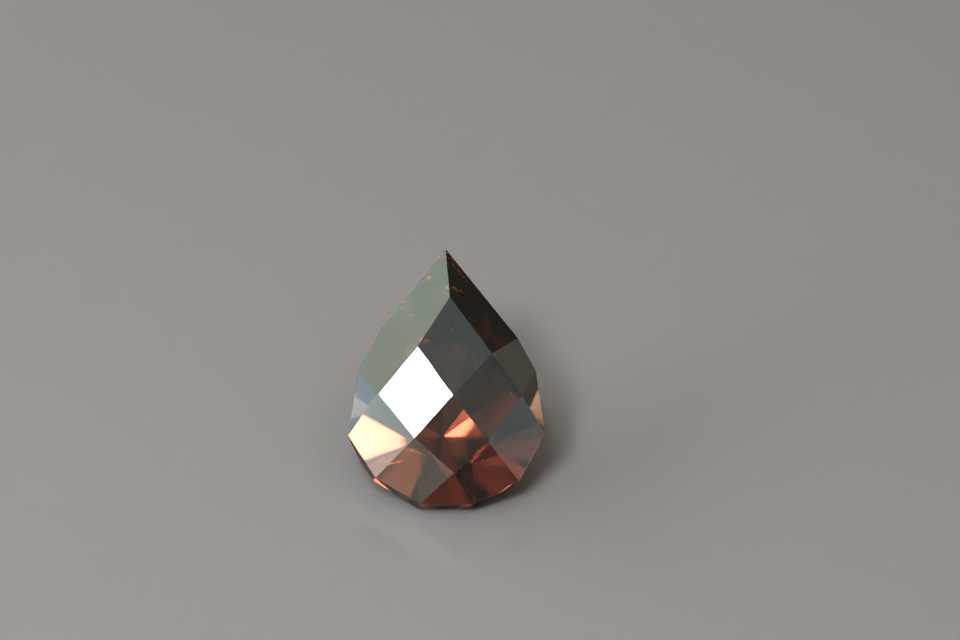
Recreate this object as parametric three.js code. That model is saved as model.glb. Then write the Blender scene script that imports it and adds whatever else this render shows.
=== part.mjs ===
import * as THREE from 'three';
import { ConvexGeometry } from 'three/addons/geometries/ConvexGeometry.js';

// A drop-shaped zircon, faceted and polished: one solid piece, sizes in millimetres.
// It is cut upright: x runs across it, y from front to back, z from round end to tip.
// The crown, a net of lozenge facets, swells forward from the girdle, which lies at y = 0.
// The back is a pyramid that runs to a point, the culet. A flat facet cuts the culet off,
// and at the end the stone leans back until it lies on that facet.

// Girdle outline, with the distance from the middle line first and then the height
const TIP = { across: -0.05, height: 9.88 };
const LEFT = {
  side: -1,
  shoulder: [2.48, 6.83],
  flank: [3.32, 5.15],
  hip: [3.70, 2.64],
  foot: [2.67, 1.01],
  base: [1.00, 0.00],
};
const RIGHT = {
  side: 1,
  shoulder: [2.65, 6.43],
  flank: [3.33, 5.15],
  hip: [3.68, 2.73],
  foot: [2.68, 0.90],
  base: [0.92, 0.00],
};

// How thick the girdle is at its corners: thin above, thick under the round end
const THICKNESS = {
  tip: 0.14,
  left: { shoulder: 0.12, flank: 0.05, hip: 0.11, foot: 0.60, base: 0.70 },
  right: { shoulder: 0.24, flank: 0.08, hip: 0.13, foot: 0.29, base: 0.70 },
};

// How far the girdle walls open outward towards the back, in degrees
const FLARE = { left: { hip: 8, foot: 3 }, right: { hip: 0, foot: 0 } };

// Crown corners on the middle line: across, height, and how far they rise forward
const UPPER_MEET = [0.11, 7.64, 1.41];
const CROWN_PEAK = [0.23, 3.735, 1.81];
const LOWER_MEET = [0.27, 0.933, 1.06];

// How the two middle lozenges slope across the stone, in mm of rise per mm
const UPPER_LOZENGE_SLOPE = -0.057;
const LOWER_LOZENGE_SLOPE = 0.069;

// Where the corners beside the peak lie across the stone, left and right
const UPPER_CORNERS = { left: -1.09, right: 1.69 };
const LOWER_CORNERS = { left: -1.21, right: 1.54 };

// The left flank triangle stops this far short of the lozenges beside it
const SHORT_MEET = 0.12;

// Back: where its facets would meet in the culet, as across, height and depth, and the
// angle in degrees between the girdle and the facet that the stone lies on
const CULET = { across: -0.01, height: 3.46, depth: 3.31 };
const RESTING_ANGLE = 36;

// The back's lower left corner lies higher than the girdle's foot: across, height, depth
const LOW_LEFT_CORNER = [-3.12, 1.62, 0.72];

const ZIRCON_COLOUR = 0x8a5444;

const corner = (across, height, rise = 0) => new THREE.Vector3(across, -rise, height);

const INSIDE = corner(0, CULET.height, -0.5);
const culet = corner(CULET.across, CULET.height, -CULET.depth);

// The flat cut through three points, with its normal pointing out of the stone
function cut(a, b, c) {
  const plane = new THREE.Plane().setFromCoplanarPoints(a, b, c);
  return plane.distanceToPoint(INSIDE) > 0 ? plane.negate() : plane;
}

// The point where three planes meet, or null where they don't
function meet(p, q, r) {
  const qr = new THREE.Vector3().crossVectors(q.normal, r.normal);
  const rp = new THREE.Vector3().crossVectors(r.normal, p.normal);
  const pq = new THREE.Vector3().crossVectors(p.normal, q.normal);
  const volume = p.normal.dot(qr);
  if (Math.abs(volume) < 1e-5) return null;
  return qr.multiplyScalar(-p.constant)
    .addScaledVector(rp, -q.constant)
    .addScaledVector(pq, -r.constant)
    .divideScalar(volume);
}

const across = (x) => new THREE.Plane(new THREE.Vector3(1, 0, 0), -x);

// The five girdle corners of one side, from the shoulder down to the base
function girdleSide(outline) {
  const corners = {};
  for (const name of ['shoulder', 'flank', 'hip', 'foot', 'base']) {
    const [x, height] = outline[name];
    corners[name] = corner(outline.side * x, height);
  }
  return corners;
}

const tip = corner(TIP.across, TIP.height);
const left = girdleSide(LEFT);
const right = girdleSide(RIGHT);

// A lozenge on the middle line through two of its corners, sloping across the stone
function middleLozenge(top, bottom, slope) {
  return cut(top, bottom, bottom.clone().add(new THREE.Vector3(1, -slope, 0)));
}

const upperMeet = corner(...UPPER_MEET);
const peak = corner(...CROWN_PEAK);
const lowerMeet = corner(...LOWER_MEET);
const upperLozenge = middleLozenge(upperMeet, peak, UPPER_LOZENGE_SLOPE);
const lowerLozenge = middleLozenge(lowerMeet, peak, LOWER_LOZENGE_SLOPE);

// The six crown facets of one side, from the tip down. Four facets meet in each corner
// of the net, so each facet is cut through corners that its neighbours have set.
function crownSide(girdle, upperAcross, lowerAcross, shortMeet) {
  const tipFacet = cut(tip, girdle.shoulder, upperMeet);
  const footFacet = cut(girdle.foot, girdle.base, lowerMeet);
  const upperCorner = meet(tipFacet, upperLozenge, across(upperAcross));
  const lowerCorner = meet(footFacet, lowerLozenge, across(lowerAcross));
  const shoulderFacet = cut(girdle.shoulder, girdle.flank, upperCorner);
  const hipFacet = cut(girdle.hip, girdle.foot, lowerCorner);
  const peakFacet = cut(upperCorner, peak, lowerCorner);
  const sideCorner = meet(shoulderFacet, hipFacet, peakFacet);
  const outward = new THREE.Vector3().crossVectors(shoulderFacet.normal, hipFacet.normal);
  outward.setLength(shortMeet * Math.sign(outward.x * girdle.hip.x));
  const flankFacet = cut(girdle.flank, girdle.hip, sideCorner.clone().add(outward));
  return [tipFacet, shoulderFacet, flankFacet, peakFacet, hipFacet, footFacet];
}

function crown() {
  return [
    ...crownSide(left, UPPER_CORNERS.left, LOWER_CORNERS.left, SHORT_MEET),
    ...crownSide(right, UPPER_CORNERS.right, LOWER_CORNERS.right, 0),
    upperLozenge,
    lowerLozenge,
    cut(left.base, right.base, lowerMeet),
  ];
}

// A girdle wall under the edge from a to b, opening outward by the flare
function wall(a, b, flare = 0) {
  const straight = cut(a, b, a.clone().add(new THREE.Vector3(0, 1, 0)));
  const outward = Math.tan(THREE.MathUtils.degToRad(flare));
  return cut(a, b, a.clone().addScaledVector(straight.normal, outward).setY(1));
}

function girdleWalls(girdle, flare) {
  return [
    wall(tip, girdle.shoulder),
    wall(girdle.shoulder, girdle.flank),
    wall(girdle.flank, girdle.hip),
    wall(girdle.hip, girdle.foot, flare.hip),
    wall(girdle.foot, girdle.base, flare.foot),
  ];
}

// The back edge of the girdle on one side, from the tip down to the base
function backRim(girdle, thickness) {
  const names = ['shoulder', 'flank', 'hip', 'foot', 'base'];
  const rim = names.map((name) => girdle[name].clone().setY(thickness[name]));
  return [tip.clone().setY(THICKNESS.tip), ...rim];
}

const leftRim = backRim(left, THICKNESS.left);
const rightRim = backRim(right, THICKNESS.right);
const [lowAcross, lowHeight, lowDepth] = LOW_LEFT_CORNER;
leftRim[4] = corner(lowAcross, lowHeight, -lowDepth);

// The pyramid facets of one side, each from a stretch of the girdle up to the culet
function backSide(rim) {
  return rim.slice(1).map((lower, i) => cut(rim[i], lower, culet));
}

// The facet that the stone lies on, from the back edge of the base
function restingFacet() {
  const angle = THREE.MathUtils.degToRad(RESTING_ANGLE);
  const slope = new THREE.Vector3(0, Math.sin(angle), Math.cos(angle));
  return cut(leftRim[5], rightRim[5], leftRim[5].clone().add(slope));
}

const cuts = [
  ...crown(),
  ...girdleWalls(left, FLARE.left),
  ...girdleWalls(right, FLARE.right),
  wall(left.base, right.base),
  ...backSide(leftRim),
  ...backSide(rightRim),
  restingFacet(),
];

// The corners of the stone: every meet of three cuts that no other cut takes away
function stoneCorners(planes) {
  const corners = [];
  for (let i = 0; i < planes.length; i += 1) {
    for (let j = i + 1; j < planes.length; j += 1) {
      for (let k = j + 1; k < planes.length; k += 1) {
        const point = meet(planes[i], planes[j], planes[k]);
        if (point === null) continue;
        if (planes.some((plane) => plane.distanceToPoint(point) > 1e-6)) continue;
        if (corners.some((known) => known.distanceTo(point) < 1e-3)) continue;
        corners.push(point);
      }
    }
  }
  return corners;
}

const zircon = new THREE.Mesh(
  new ConvexGeometry(stoneCorners(cuts)),
  new THREE.MeshStandardMaterial({ color: ZIRCON_COLOUR, roughness: 0.03, metalness: 0 }),
);
zircon.name = 'zircon';

// Leaning back until the resting facet lies flat, with the origin under the middle of
// the stone
zircon.rotation.x = -THREE.MathUtils.degToRad(90 - RESTING_ANGLE);
zircon.updateMatrixWorld();
const bounds = new THREE.Box3().setFromObject(zircon, true);
const middle = bounds.getCenter(new THREE.Vector3());
zircon.position.set(-middle.x, -middle.y, -bounds.min.z);

const group = new THREE.Group();
group.add(zircon);

export default group;
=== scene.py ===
import math
import random

import bmesh
import bpy
from mathutils import Matrix, Vector


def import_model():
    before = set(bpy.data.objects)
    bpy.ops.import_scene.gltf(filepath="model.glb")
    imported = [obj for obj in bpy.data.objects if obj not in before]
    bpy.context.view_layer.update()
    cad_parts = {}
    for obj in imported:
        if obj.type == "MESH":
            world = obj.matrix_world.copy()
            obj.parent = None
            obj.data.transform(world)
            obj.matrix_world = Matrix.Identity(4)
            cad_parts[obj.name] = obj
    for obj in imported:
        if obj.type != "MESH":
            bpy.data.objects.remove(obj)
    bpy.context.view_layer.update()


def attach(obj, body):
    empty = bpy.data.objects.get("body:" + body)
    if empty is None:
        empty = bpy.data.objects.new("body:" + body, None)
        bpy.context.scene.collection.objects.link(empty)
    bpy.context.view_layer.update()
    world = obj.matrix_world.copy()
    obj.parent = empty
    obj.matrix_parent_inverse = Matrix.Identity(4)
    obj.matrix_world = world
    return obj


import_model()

MM = 0.001

# The camera looks along +Y and down on the stone, from far away through a long lens
ELEVATION = 39.0
DISTANCE = 0.5
FIELD = 0.036
SENSOR_WIDTH = 36.0
AIM = Vector((1.25, 1.24, 5.15)) * MM

# Lines of sight start this far in front of the stone
SIGHT_START = 50.0 * MM

# The floor is plain pale grey with a little gloss. A film of air lies between it and the
# resting facet, so that the facet still mirrors the inside of the stone
FLOOR_HALF_WIDTH = 2.0
FLOOR_GAP = 0.01 * MM
FLOOR_COLOUR = (0.325, 0.328, 0.350, 1.0)
FLOOR_ROUGHNESS = 0.12

# Light from all round, up to a band of heights in degrees where it fades away
DOME_COLOUR = (1.00, 0.96, 0.82, 1.0)
DOME_STRENGTH = 0.275
DOME_FADE = (45, 48)

# Soft boxes round the stone: name, azimuth and elevation in degrees, width and height in
# metres, brightness as radiance, colour. Each is seen in a facet or through the stone.
STONE = Vector((0.0, -0.5, 3.0)) * MM
PANEL_DISTANCE = 0.25
PANELS = [
    ("key", -33, 52, 0.065, 0.064, 25.5, (1.00, 0.99, 1.00)),
    ("key edge", -20, 44, 0.035, 0.035, 4.5, (1.00, 0.90, 0.80)),
    ("glint", -13, 62, 0.030, 0.022, 45.0, (1.00, 1.00, 0.90)),
    ("halo", -42, 52, 0.130, 0.150, 0.70, (1.00, 0.74, 0.65)),
    ("high front", -58, 71, 0.130, 0.060, 3.10, (1.00, 0.98, 0.87)),
    ("over", 34, 64, 0.189, 0.161, 0.95, (0.88, 1.00, 0.97)),
    ("over middle", -8, 40, 0.060, 0.034, 0.62, (1.00, 0.80, 0.70)),
    ("over low", 25, 49, 0.075, 0.044, 0.90, (1.00, 0.75, 0.65)),
    ("over left", 2, 62, 0.060, 0.080, 1.20, (1.00, 0.38, 0.26)),
    ("over right", 78, 64, 0.070, 0.050, 1.40, (1.00, 0.38, 0.26)),
    ("top", 28, 77, 0.070, 0.050, 0.45, (0.95, 1.00, 0.95)),
    ("rear top", 164, 76, 0.090, 0.077, 1.66, (1.00, 0.91, 0.65)),
    ("rear", -178, 60, 0.080, 0.050, 1.15, (1.00, 0.45, 0.35)),
    ("high left", -111, 58, 0.080, 0.050, 1.95, (1.00, 0.55, 0.42)),
    ("high right", 99, 60, 0.072, 0.070, 1.45, (1.00, 0.60, 0.45)),
    ("left", -101, 22, 0.421, 0.129, 2.66, (0.88, 1.00, 0.88)),
    ("low left", -116, 2, 0.130, 0.064, 3.35, (0.70, 0.90, 1.00)),
    ("low side", -82, 11, 0.120, 0.032, 3.50, (1.00, 1.00, 0.86)),
    ("front", -63, 13, 0.097, 0.067, 3.17, (0.79, 0.99, 1.00)),
    ("low front", -34, 1, 0.103, 0.016, 1.35, (0.85, 1.00, 0.90)),
    ("right", 72, 2, 0.100, 0.035, 1.35, (0.66, 0.91, 0.98)),
    ("back", 124, 9, 0.088, 0.092, 0.55, (0.88, 1.00, 0.90)),
]

# The stone: brown by absorption over each metre of it, polished, its edges a little round
ZIRCON_IOR = 1.95
ZIRCON_BROWN = (0.54, 0.30, 0.19, 1.0)
ZIRCON_DENSITY = 500.0
POLISH = (0.06, 0.11)
POLISH_SCALE = 700.0
WAVE_HEIGHT = 0.006 * MM
WAVE_SCALE = 330.0
EDGE_WIDTH = 0.018 * MM
EDGE_LEAST_ANGLE = 3.0

# Grains of other minerals in the stone: dark and light shade, and how metallic, for glints
GRAIN_KINDS = {
    "pale": ((0.75, 0.62, 0.45, 1), (1.0, 0.95, 0.85, 1), 0.8),
    "rusty": ((0.85, 0.26, 0.12, 1), (1.0, 0.42, 0.22, 1), 0.8),
    "red": ((0.6, 0.03, 0.02, 1), (1.0, 0.12, 0.08, 1), 0.5),
}
GRAIN_ROUGHNESS = 0.5
GRAIN_MOTTLE_SCALE = 20000.0
GRAIN_CROOKEDNESS = (0.8, 1.15)
GRAIN_LEAN = 0.5
GRAIN_SEED = 7

# Where each grain shows, in mm to the right of and above the middle of the view, its
# depth under the facet, its length and breadth, its kind
INCLUSIONS = [
    (-1.93, 1.56, 0.4, 0.28, 0.23, "rusty"),
    (-2.56, 0.20, 0.4, 0.08, 0.07, "pale"),
    (-2.93, 0.46, 0.3, 0.11, 0.07, "pale"),
    (-2.86, 0.66, 0.15, 0.07, 0.06, "pale"),
    (-0.99, 1.20, 0.18, 0.26, 0.19, "rusty"),
    (-0.86, 1.11, 0.18, 0.25, 0.14, "rusty"),
    (-0.69, 1.07, 0.18, 0.22, 0.10, "rusty"),
    (-0.38, 0.08, 0.2, 0.11, 0.06, "rusty"),
    (-2.00, -0.80, 0.5, 0.30, 0.22, "red"),
    (-1.83, -0.60, 0.7, 0.10, 0.07, "red"),
    (-1.03, -0.36, 0.7, 0.10, 0.08, "pale"),
    (1.16, -2.76, 0.3, 0.07, 0.06, "pale"),
    (0.09, -5.25, 0.5, 0.08, 0.06, "pale"),
    (0.20, -5.38, 0.6, 0.11, 0.05, "pale"),
    (0.27, -5.52, 0.4, 0.08, 0.06, "pale"),
    (0.03, -4.97, 0.6, 0.08, 0.05, "rusty"),
    (-1.31, 2.53, 0.13, 0.10, 0.07, "rusty"),
    (-1.30, 2.34, 0.2, 0.10, 0.07, "red"),
    (-1.00, 2.08, 0.12, 0.17, 0.10, "rusty"),
    (-0.92, 1.97, 0.13, 0.18, 0.11, "red"),
    (-0.81, 1.85, 0.13, 0.20, 0.14, "red"),
    (-0.72, 1.72, 0.13, 0.18, 0.12, "red"),
    (-0.61, 1.60, 0.13, 0.18, 0.12, "red"),
    (-0.50, 1.46, 0.13, 0.16, 0.10, "red"),
]

# The deep reds need the contrast that a camera gives
CONTRAST_GAMMA = 0.7


def direction(azimuth, elevation):
    """Unit vector towards a place round the stone: azimuth 0 is -Y, 90 is +X."""
    a, e = math.radians(azimuth), math.radians(elevation)
    return Vector((math.sin(a) * math.cos(e), -math.cos(a) * math.cos(e), math.sin(e)))


def camera():
    data = bpy.data.cameras.new("camera")
    data.sensor_width = SENSOR_WIDTH
    data.lens = DISTANCE / FIELD * SENSOR_WIDTH
    data.clip_start = 0.01
    data.clip_end = 10.0
    cam = bpy.data.objects.new("camera", data)
    towards = direction(0.0, ELEVATION)
    cam.location = AIM + towards * DISTANCE
    cam.rotation_euler = towards.to_track_quat("Z", "Y").to_euler()
    bpy.context.scene.collection.objects.link(cam)
    bpy.context.scene.camera = cam


def panel(name, azimuth, elevation, width, height, radiance, colour):
    """A soft box facing the stone, itself out of sight."""
    data = bpy.data.lights.new(name, "AREA")
    data.shape = "RECTANGLE"
    data.size = width
    data.size_y = height
    data.energy = math.pi * width * height * radiance
    data.color = colour
    lamp = bpy.data.objects.new(name, data)
    towards = direction(azimuth, elevation)
    lamp.location = STONE + towards * PANEL_DISTANCE
    lamp.rotation_euler = towards.to_track_quat("Z", "Y").to_euler()
    lamp.visible_camera = False
    bpy.context.scene.collection.objects.link(lamp)


def world():
    """Dim light from all round, with the ceiling above it dark."""
    w = bpy.data.worlds.new("studio")
    w.use_nodes = True
    nt = w.node_tree
    back = nt.nodes["Background"]
    back.inputs["Color"].default_value = DOME_COLOUR
    split = nt.nodes.new("ShaderNodeSeparateXYZ")
    dome = nt.nodes.new("ShaderNodeMapRange")
    dome.interpolation_type = "SMOOTHSTEP"
    dome.inputs["From Min"].default_value = math.sin(math.radians(DOME_FADE[0]))
    dome.inputs["From Max"].default_value = math.sin(math.radians(DOME_FADE[1]))
    dome.inputs["To Min"].default_value = DOME_STRENGTH
    dome.inputs["To Max"].default_value = 0.0
    place = nt.nodes.new("ShaderNodeTexCoord").outputs["Generated"]
    nt.links.new(place, split.inputs[0])
    nt.links.new(split.outputs["Z"], dome.inputs["Value"])
    nt.links.new(dome.outputs[0], back.inputs["Strength"])
    bpy.context.scene.world = w


def floor():
    mesh = bpy.data.meshes.new("floor")
    bm = bmesh.new()
    bmesh.ops.create_grid(bm, x_segments=1, y_segments=1, size=FLOOR_HALF_WIDTH)
    bm.to_mesh(mesh)
    bm.free()
    ob = bpy.data.objects.new("floor", mesh)
    ob.location.z = -FLOOR_GAP
    bpy.context.scene.collection.objects.link(ob)
    m = bpy.data.materials.new("floor")
    m.use_nodes = True
    b = m.node_tree.nodes["Principled BSDF"]
    b.inputs["Base Color"].default_value = FLOOR_COLOUR
    b.inputs["Roughness"].default_value = FLOOR_ROUGHNESS
    mesh.materials.append(m)


def under_facet(ob, x, y, depth):
    """The place that shows at x, y of the view, this deep along the bent line of sight."""
    sight = -direction(0.0, ELEVATION)
    up = Vector((1.0, 0.0, 0.0)).cross(sight)
    start = AIM + (Vector((x, 0.0, 0.0)) + up * y) * MM - sight * SIGHT_START
    found, entry, normal, _ = ob.ray_cast(start, sight)
    if not found:
        raise ValueError(f"nothing of the stone shows at {x}, {y}")
    ratio = 1.0 / ZIRCON_IOR
    lean = -sight.dot(normal)
    steep = math.sqrt(1.0 - ratio**2 * (1.0 - lean**2))
    bent = sight * ratio + normal * (ratio * lean - steep)
    return entry + bent * depth * MM


def inclusion_material(name, dark, light, metallic):
    """A grain of another mineral, mottled between two colours, with a glint if metallic."""
    m = bpy.data.materials.new(name)
    m.use_nodes = True
    nt = m.node_tree
    b = nt.nodes["Principled BSDF"]
    b.inputs["Roughness"].default_value = GRAIN_ROUGHNESS
    b.inputs["Metallic"].default_value = metallic
    mottle = nt.nodes.new("ShaderNodeTexNoise")
    mottle.inputs["Scale"].default_value = GRAIN_MOTTLE_SCALE
    shades = nt.nodes.new("ShaderNodeValToRGB")
    shades.color_ramp.elements[0].position = 0.35
    shades.color_ramp.elements[0].color = dark
    shades.color_ramp.elements[1].position = 0.65
    shades.color_ramp.elements[1].color = light
    place = nt.nodes.new("ShaderNodeTexCoord").outputs["Object"]
    nt.links.new(place, mottle.inputs["Vector"])
    nt.links.new(mottle.outputs[0], shades.inputs["Fac"])
    nt.links.new(shades.outputs["Color"], b.inputs["Base Color"])
    return m


def inclusions(ob):
    """Small crooked grains, each turned its own way, as one piece."""
    rng = random.Random(GRAIN_SEED)
    kinds = list(GRAIN_KINDS)
    bm = bmesh.new()
    for x, y, depth, length, breadth, kind in INCLUSIONS:
        grain = bmesh.ops.create_icosphere(bm, subdivisions=2, radius=0.5)["verts"]
        for v in grain:
            v.co *= rng.uniform(*GRAIN_CROOKEDNESS)
        turn = Matrix.Rotation(rng.uniform(0, math.pi), 4, "Y")
        turn = turn @ Matrix.Rotation(rng.uniform(-GRAIN_LEAN, GRAIN_LEAN), 4, "X")
        size = Matrix.Diagonal((length * MM, breadth * MM, breadth * MM, 1.0))
        bmesh.ops.transform(bm, matrix=turn @ size, verts=grain)
        bmesh.ops.translate(bm, vec=under_facet(ob, x, y, depth), verts=grain)
        for face in {f for v in grain for f in v.link_faces}:
            face.material_index = kinds.index(kind)
    mesh = bpy.data.meshes.new("inclusions")
    bm.to_mesh(mesh)
    bm.free()
    for kind, look in GRAIN_KINDS.items():
        mesh.materials.append(inclusion_material(f"{kind}_grain", *look))
    piece = bpy.data.objects.new("inclusions", mesh)
    bpy.context.scene.collection.objects.link(piece)
    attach(piece, "root")


def round_edges(ob):
    """Facet edges of a cut stone are never quite sharp."""
    bevel = ob.modifiers.new("edges", "BEVEL")
    bevel.width = EDGE_WIDTH
    bevel.segments = 2
    bevel.limit_method = "ANGLE"
    bevel.angle_limit = math.radians(EDGE_LEAST_ANGLE)


def zircon_material():
    """Clear brown stone with a polish that is a little uneven."""
    m = bpy.data.materials.new("zircon")
    m.use_nodes = True
    nt = m.node_tree
    b = nt.nodes["Principled BSDF"]
    b.inputs["Base Color"].default_value = (1.0, 1.0, 1.0, 1.0)
    b.inputs["IOR"].default_value = ZIRCON_IOR
    b.inputs["Transmission Weight"].default_value = 1.0
    place = nt.nodes.new("ShaderNodeTexCoord").outputs["Object"]

    # Polish: mostly mirror-like, with slightly duller patches
    patches = nt.nodes.new("ShaderNodeTexNoise")
    patches.inputs["Scale"].default_value = POLISH_SCALE
    patches.inputs["Detail"].default_value = 4.0
    dull = nt.nodes.new("ShaderNodeMapRange")
    dull.inputs["From Min"].default_value = 0.35
    dull.inputs["From Max"].default_value = 0.75
    dull.inputs["To Min"].default_value = POLISH[0]
    dull.inputs["To Max"].default_value = POLISH[1]
    nt.links.new(place, patches.inputs["Vector"])
    nt.links.new(patches.outputs[0], dull.inputs["Value"])
    nt.links.new(dull.outputs[0], b.inputs["Roughness"])

    # Facets that are very slightly wavy
    waves = nt.nodes.new("ShaderNodeTexNoise")
    waves.inputs["Scale"].default_value = WAVE_SCALE
    waves.inputs["Detail"].default_value = 1.0
    bump = nt.nodes.new("ShaderNodeBump")
    bump.inputs["Strength"].default_value = 1.0
    bump.inputs["Distance"].default_value = WAVE_HEIGHT
    nt.links.new(place, waves.inputs["Vector"])
    nt.links.new(waves.outputs[0], bump.inputs["Height"])
    nt.links.new(bump.outputs[0], b.inputs["Normal"])

    v = nt.nodes.new("ShaderNodeVolumeAbsorption")
    v.inputs["Color"].default_value = ZIRCON_BROWN
    v.inputs["Density"].default_value = ZIRCON_DENSITY
    nt.links.new(v.outputs[0], nt.nodes["Material Output"].inputs["Volume"])
    return m


def picture():
    """Plain colours with a camera's contrast, and enough bounces for light in the stone."""
    scene = bpy.context.scene
    scene.view_settings.view_transform = "Standard"
    scene.view_settings.gamma = CONTRAST_GAMMA
    scene.cycles.sampling_pattern = "TABULATED_SOBOL"
    scene.cycles.max_bounces = 24
    scene.cycles.glossy_bounces = 16
    scene.cycles.transmission_bounces = 24


camera()
world()
floor()
for values in PANELS:
    panel(*values)

stone = bpy.data.objects["zircon"]
stone.data.materials.clear()
stone.data.materials.append(zircon_material())
inclusions(stone)
round_edges(stone)
picture()
